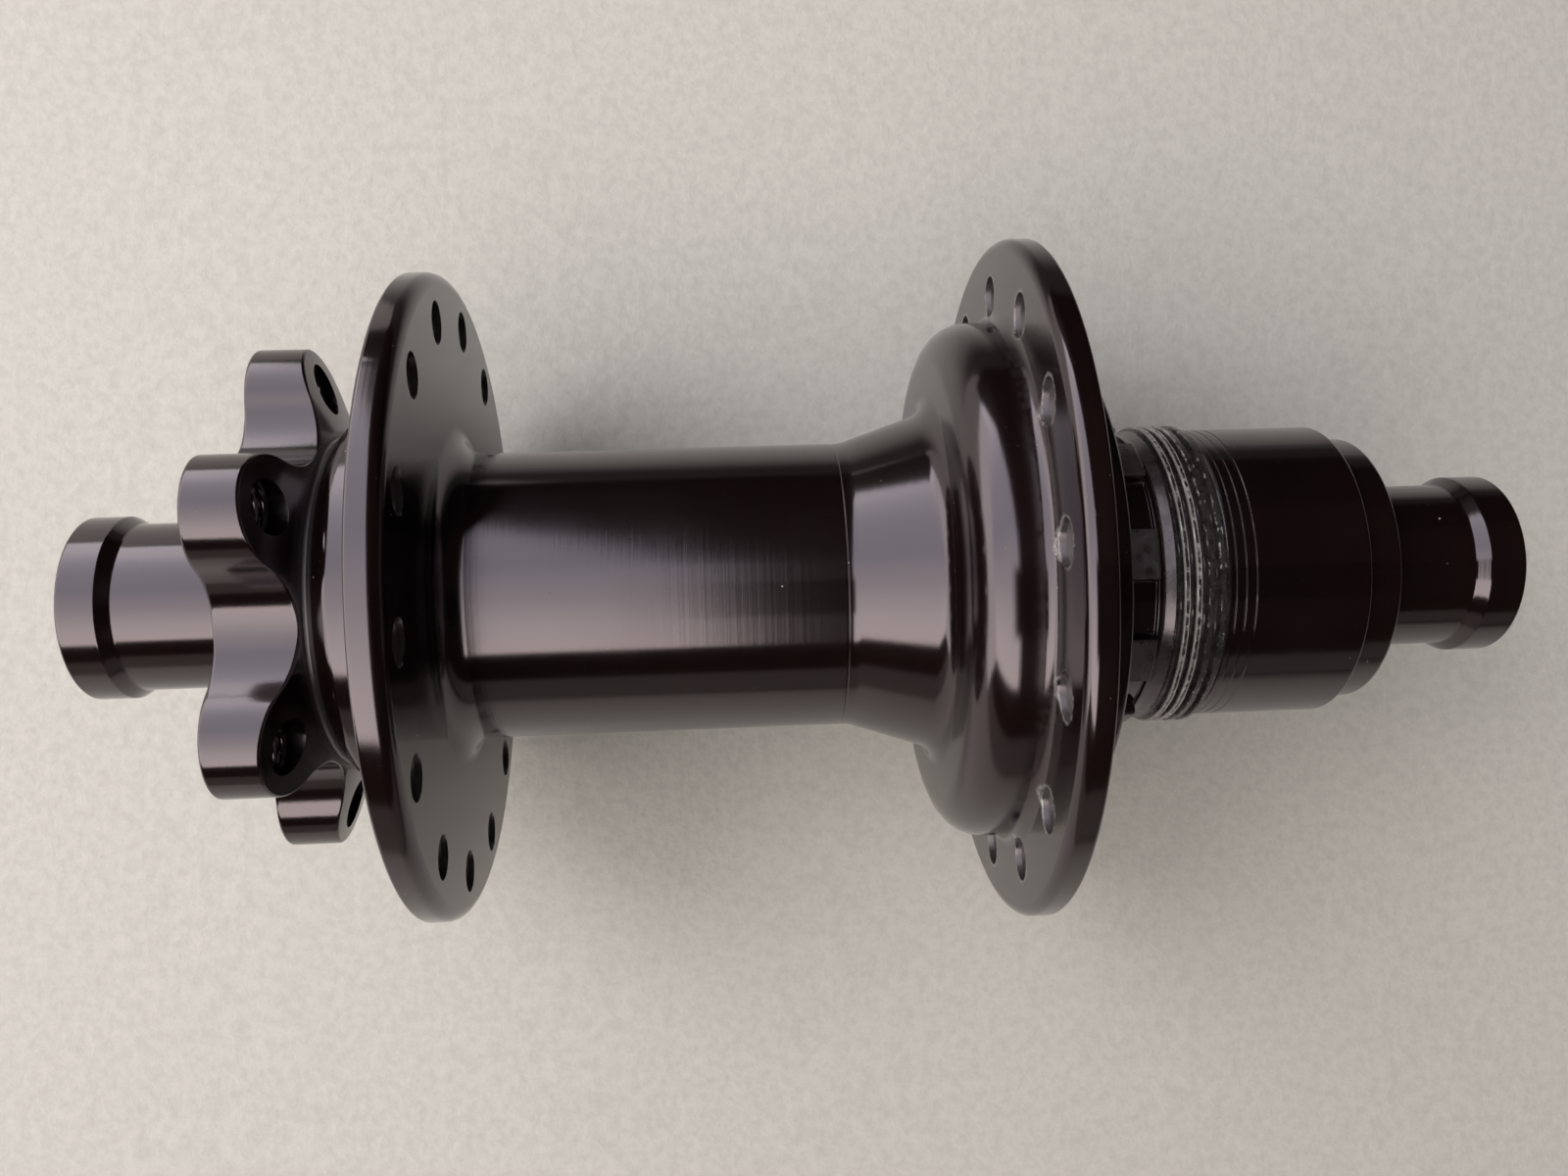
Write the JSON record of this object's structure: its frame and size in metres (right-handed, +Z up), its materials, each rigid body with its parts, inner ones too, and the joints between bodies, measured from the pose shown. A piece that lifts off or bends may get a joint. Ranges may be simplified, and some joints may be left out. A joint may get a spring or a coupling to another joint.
{
  "type": "bicycle rear hub",
  "caption": "Black anodised rear disc bicycle hub with scalloped rotor mount, drilled spoke flanges, bell-shaped drive side and splined, threaded cassette driver.",
  "frame": {"origin": "on the axle's centre line, midway between the two dropout faces", "axes": "+Y along the axle towards the disc side, +Z up, +X towards the front of the bicycle"},
  "size_m": [0.071, 0.148, 0.071],
  "materials": {
    "black_anodised": "gloss black anodised, fine turning marks",
    "bare_aluminium": "machined, bare",
    "bearing_steel": "ground and polished",
    "tool_steel": "hardened, satin",
    "spring_steel": "rolled strip",
    "black_rubber": "matt"
  },
  "bodies": {
    "axle": {"axle_tube": "bare_aluminium", "end_cap_disc_side": "black_anodised", "end_cap_drive_side": "black_anodised", "o_ring_disc_side": "black_rubber", "o_ring_drive_side": "black_rubber", "bearing_spacer": "bare_aluminium", "driver_spacer_tube": "bare_aluminium", "disc_side_bearing_inner_race": "bearing_steel", "shell_drive_bearing_inner_race": "bearing_steel", "driver_inboard_bearing_inner_race": "bearing_steel", "driver_outboard_bearing_inner_race": "bearing_steel"},
    "shell": {"hub_shell": "black_anodised", "ratchet_ring": "tool_steel", "disc_side_dust_shield": "black_rubber", "driver_lip_seal": "black_rubber", "disc_side_bearing_outer_race": "bearing_steel", "disc_side_bearing_seal_disc_side": "black_rubber", "disc_side_bearing_seal_drive_side": "black_rubber", "shell_drive_bearing_outer_race": "bearing_steel", "shell_drive_bearing_seal_disc_side": "black_rubber", "shell_drive_bearing_seal_drive_side": "black_rubber"},
    "driver": {"cassette_driver": "black_anodised", "pawl_spring_1": "spring_steel", "pawl_spring_2": "spring_steel", "pawl_spring_3": "spring_steel", "pawl_spring_4": "spring_steel", "driver_inboard_bearing_outer_race": "bearing_steel", "driver_inboard_bearing_seal_disc_side": "black_rubber", "driver_inboard_bearing_seal_drive_side": "black_rubber", "driver_outboard_bearing_outer_race": "bearing_steel", "driver_outboard_bearing_seal_disc_side": "black_rubber", "driver_outboard_bearing_seal_drive_side": "black_rubber"},
    "disc_side_bearing_cage": {"disc_side_bearing_balls_and_cage": "bearing_steel"},
    "shell_drive_bearing_cage": {"shell_drive_bearing_balls_and_cage": "bearing_steel"},
    "driver_inboard_bearing_cage": {"driver_inboard_bearing_balls_and_cage": "bearing_steel"},
    "driver_outboard_bearing_cage": {"driver_outboard_bearing_balls_and_cage": "bearing_steel"},
    "pawl_1": {"pawl_1": "tool_steel"},
    "pawl_2": {"pawl_2": "tool_steel"},
    "pawl_3": {"pawl_3": "tool_steel"},
    "pawl_4": {"pawl_4": "tool_steel"}
  },
  "joints": [
    {"name": "shell_spin", "type": "hinge", "parent": "axle", "child": "shell", "pos_m": [0, 0, 0], "axis": [0, 1, 0], "continuous": true},
    {"name": "driver_spin", "type": "hinge", "parent": "axle", "child": "driver", "pos_m": [0, -0.037, 0], "axis": [0, 1, 0], "continuous": true},
    {"name": "disc_side_bearing_cage_spin", "type": "hinge", "parent": "axle", "child": "disc_side_bearing_cage", "pos_m": [0, 0.0509, 0], "axis": [0, 1, 0], "continuous": true},
    {"name": "shell_drive_bearing_cage_spin", "type": "hinge", "parent": "axle", "child": "shell_drive_bearing_cage", "pos_m": [0, -0.0105, 0], "axis": [0, 1, 0], "continuous": true},
    {"name": "driver_inboard_bearing_cage_spin", "type": "hinge", "parent": "axle", "child": "driver_inboard_bearing_cage", "pos_m": [0, -0.0204, 0], "axis": [0, 1, 0], "continuous": true},
    {"name": "driver_outboard_bearing_cage_spin", "type": "hinge", "parent": "axle", "child": "driver_outboard_bearing_cage", "pos_m": [0, -0.0555, 0], "axis": [0, 1, 0], "continuous": true},
    {"name": "pawl_1_hinge", "type": "hinge", "parent": "driver", "child": "pawl_1", "pos_m": [0.00571, -0.0199, 0.01569], "axis": [0, 1, 0], "range_deg": [0, 12], "stiffness_Nm_per_rad": 0.0005, "springref_deg": 11.46},
    {"name": "pawl_2_hinge", "type": "hinge", "parent": "driver", "child": "pawl_2", "pos_m": [0.01569, -0.0199, -0.00571], "axis": [0, 1, 0], "range_deg": [0, 12]},
    {"name": "pawl_3_hinge", "type": "hinge", "parent": "driver", "child": "pawl_3", "pos_m": [-0.00571, -0.0199, -0.01569], "axis": [0, 1, 0], "range_deg": [0, 12]},
    {"name": "pawl_4_hinge", "type": "hinge", "parent": "driver", "child": "pawl_4", "pos_m": [-0.01569, -0.0199, 0.00571], "axis": [0, 1, 0], "range_deg": [0, 12]}
  ],
  "couplings": [
    {"joint": "disc_side_bearing_cage_spin", "follows": "shell_spin", "ratio": 0.5674},
    {"joint": "shell_drive_bearing_cage_spin", "follows": "shell_spin", "ratio": 0.5674},
    {"joint": "driver_inboard_bearing_cage_spin", "follows": "driver_spin", "ratio": 0.5674},
    {"joint": "driver_outboard_bearing_cage_spin", "follows": "driver_spin", "ratio": 0.5436},
    {"joint": "pawl_2_hinge", "follows": "pawl_1_hinge", "ratio": 1},
    {"joint": "pawl_3_hinge", "follows": "pawl_1_hinge", "ratio": 1},
    {"joint": "pawl_4_hinge", "follows": "pawl_1_hinge", "ratio": 1}
  ]
}
